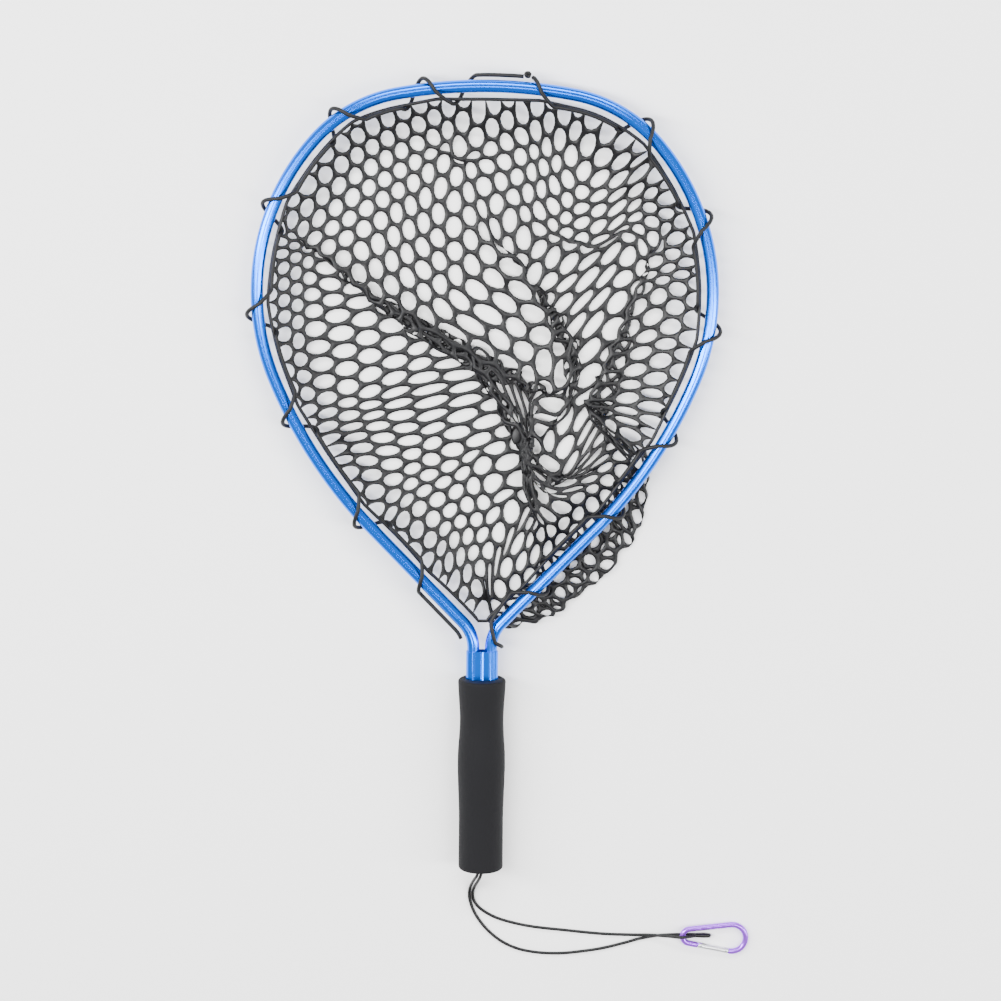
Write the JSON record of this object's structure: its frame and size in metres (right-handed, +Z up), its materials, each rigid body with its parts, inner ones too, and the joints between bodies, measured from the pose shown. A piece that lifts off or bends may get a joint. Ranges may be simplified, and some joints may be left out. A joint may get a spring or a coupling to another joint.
{
  "type": "landing net",
  "caption": "Short-handled trout landing net with a blue tube hoop, a laced rubber mesh bag, a foam grip and a cord with a small carabiner.",
  "frame": {"origin": "on the floor under the middle of the rigid net, hoop and handle together, the cord left out", "axes": "+Y along the handle towards the hoop, +Z up with the net lying flat, +X to the right when looking down with the hoop away from you"},
  "size_m": [0.3541, 0.6241, 0.0332],
  "materials": {
    "blue_tube": "anodised gloss blue",
    "black_plastic": "moulded matte",
    "rivet_metal": "satin",
    "foam": "closed-cell foam, matte",
    "black_cord": "braided cord, slight sheen",
    "violet_metal": "anodised satin violet",
    "gate_metal": "bright satin",
    "net_rubber": "moulded rubber, satin"
  },
  "bodies": {
    "net": {"hoop_tube": "blue_tube", "handle_tube": "blue_tube", "leg_insert": "black_plastic", "leg_rivets": "rivet_metal", "foam_grip": "foam", "end_plug": "black_plastic", "lanyard_knot": "black_cord", "lanyard_upper": "black_cord", "lanyard_lower": "black_cord", "cord_sleeve": "black_plastic", "net_bag": "net_rubber", "lace_right": "black_cord", "lace_left": "black_cord", "lace_knot": "black_cord"},
    "carabiner": {"carabiner_body": "violet_metal"},
    "gate": {"carabiner_gate": "gate_metal", "gate_pin": "gate_metal", "gate_spring": "gate_metal", "catch_pin": "gate_metal"},
    "plunger": {"gate_plunger": "gate_metal"}
  },
  "joints": [
    {"name": "carabiner_swing", "type": "hinge", "parent": "net", "child": "carabiner", "pos_m": [0.1441, -0.33052, 0.0043], "axis": [-0.0523, -0.9986, 0], "range_deg": [0, 100]},
    {"name": "gate_hinge", "type": "hinge", "parent": "carabiner", "child": "gate", "pos_m": [0.1571, -0.33783, 0.00362], "axis": [0.0508, -0.0027, 0.9987], "range_deg": [0, 25], "stiffness_Nm_per_rad": 0.02, "springref_deg": -22.92},
    {"name": "plunger_slide", "type": "slide", "parent": "gate", "child": "plunger", "axis": [0.9775, -0.2048, -0.0503], "range_m": [0, 0.00025], "deforming": ["gate_spring"]}
  ],
  "couplings": [
    {"joint": "plunger_slide", "follows": "gate_hinge", "m_per_rad": 0.0005}
  ]
}
